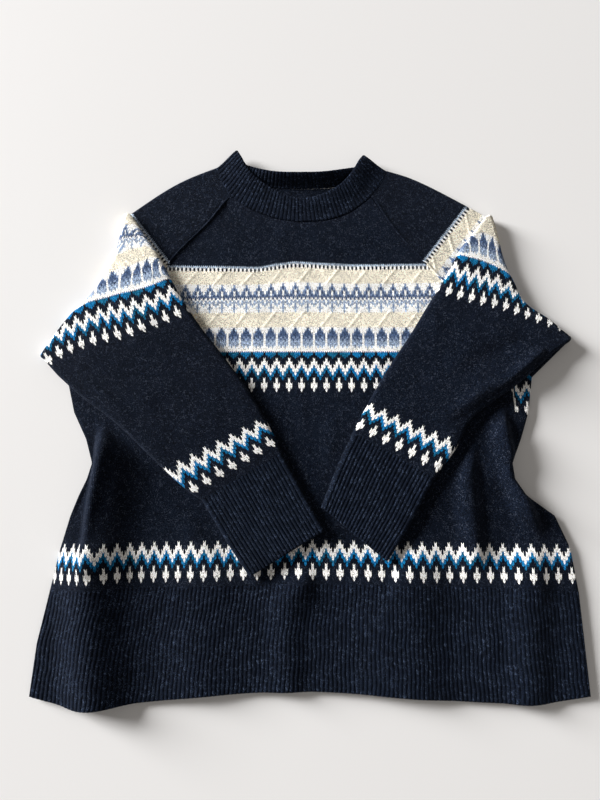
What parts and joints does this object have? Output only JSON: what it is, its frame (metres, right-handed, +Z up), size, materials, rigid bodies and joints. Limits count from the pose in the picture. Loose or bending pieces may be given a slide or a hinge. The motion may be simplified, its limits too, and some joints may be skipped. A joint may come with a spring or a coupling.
{
  "type": "fair isle jumper",
  "caption": "Knitted raglan pullover with patterned bands and deep ribs, laid flat face up with both sleeves folded over the front",
  "frame": {"origin": "centre of the bounding box at its underside, on the surface the garment lies on", "axes": "X runs across the garment, +Y from the hem to the neck, +Z up out of its front"},
  "size_m": [0.6083, 0.631, 0.0226],
  "materials": {
    "back_panel": "plain knit in heathered navy wool, matt",
    "front_panel": "navy knit with white, cream and blue fair isle bands, matt",
    "back_hem_rib": "ribbed knit in navy wool, matt",
    "front_hem_rib": "ribbed knit in navy wool, matt",
    "left_sleeve": "navy knit with fair isle bands, matt",
    "right_sleeve": "navy knit with fair isle bands, matt",
    "left_cuff": "ribbed knit in navy wool, matt",
    "right_cuff": "ribbed knit in navy wool, matt",
    "neckband": "ribbed knit in navy wool, matt"
  },
  "bodies": {
    "root": {"back_panel": "back_panel", "front_panel": "front_panel", "back_hem_rib": "back_hem_rib", "front_hem_rib": "front_hem_rib", "left_sleeve": "left_sleeve", "right_sleeve": "right_sleeve", "left_cuff": "left_cuff", "right_cuff": "right_cuff", "neckband": "neckband"}
  },
  "joints": []
}
